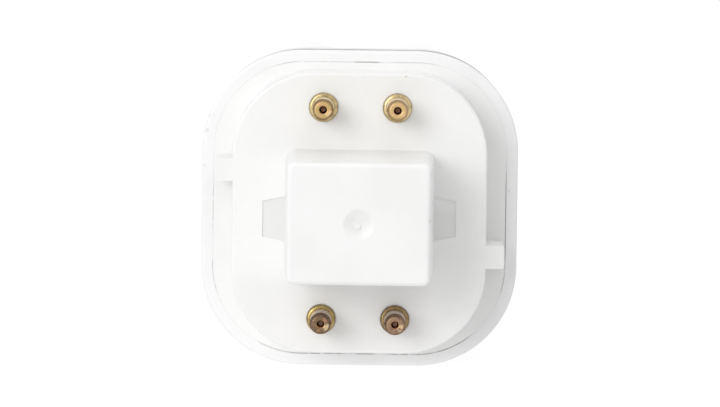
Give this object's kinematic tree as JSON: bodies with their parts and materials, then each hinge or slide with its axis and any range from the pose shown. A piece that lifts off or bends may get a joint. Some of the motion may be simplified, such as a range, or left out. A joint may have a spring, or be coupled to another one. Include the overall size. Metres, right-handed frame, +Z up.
{
  "type": "pin base compact fluorescent lamp",
  "caption": "Plug-in compact fluorescent lamp: white moulded cap with centre post and brass contact pins, square housing and a folded glass discharge tube.",
  "frame": {"origin": "centre of the cap's reference face, in the middle of the four contact pins", "axes": "-Y out of the cap towards the lampholder, +Y along the discharge tube, +Z up with the lamp lying on one side of its housing"},
  "size_m": [0.0348, 0.1655, 0.0348],
  "materials": {
    "housing_plastic": "satin white moulding",
    "cap_plastic": "satin white moulding",
    "coated_glass": "glossy, coated white inside",
    "pin_brass": "turned, partly tarnished",
    "cement": "matt",
    "wire_nickel": "drawn wire"
  },
  "bodies": {
    "root": {"housing": "housing_plastic", "base_cap": "cap_plastic", "discharge_tube": "coated_glass", "contact_pin_top_left": "pin_brass", "contact_pin_top_right": "pin_brass", "contact_pin_bottom_left": "pin_brass", "contact_pin_bottom_right": "pin_brass", "tube_cement_upper_left": "cement", "tube_cement_upper_right": "cement", "tube_cement_lower_left": "cement", "tube_cement_lower_right": "cement", "lead_wire_top_left": "wire_nickel", "lead_wire_top_right": "wire_nickel", "lead_wire_bottom_left": "wire_nickel", "lead_wire_bottom_right": "wire_nickel"}
  },
  "joints": []
}
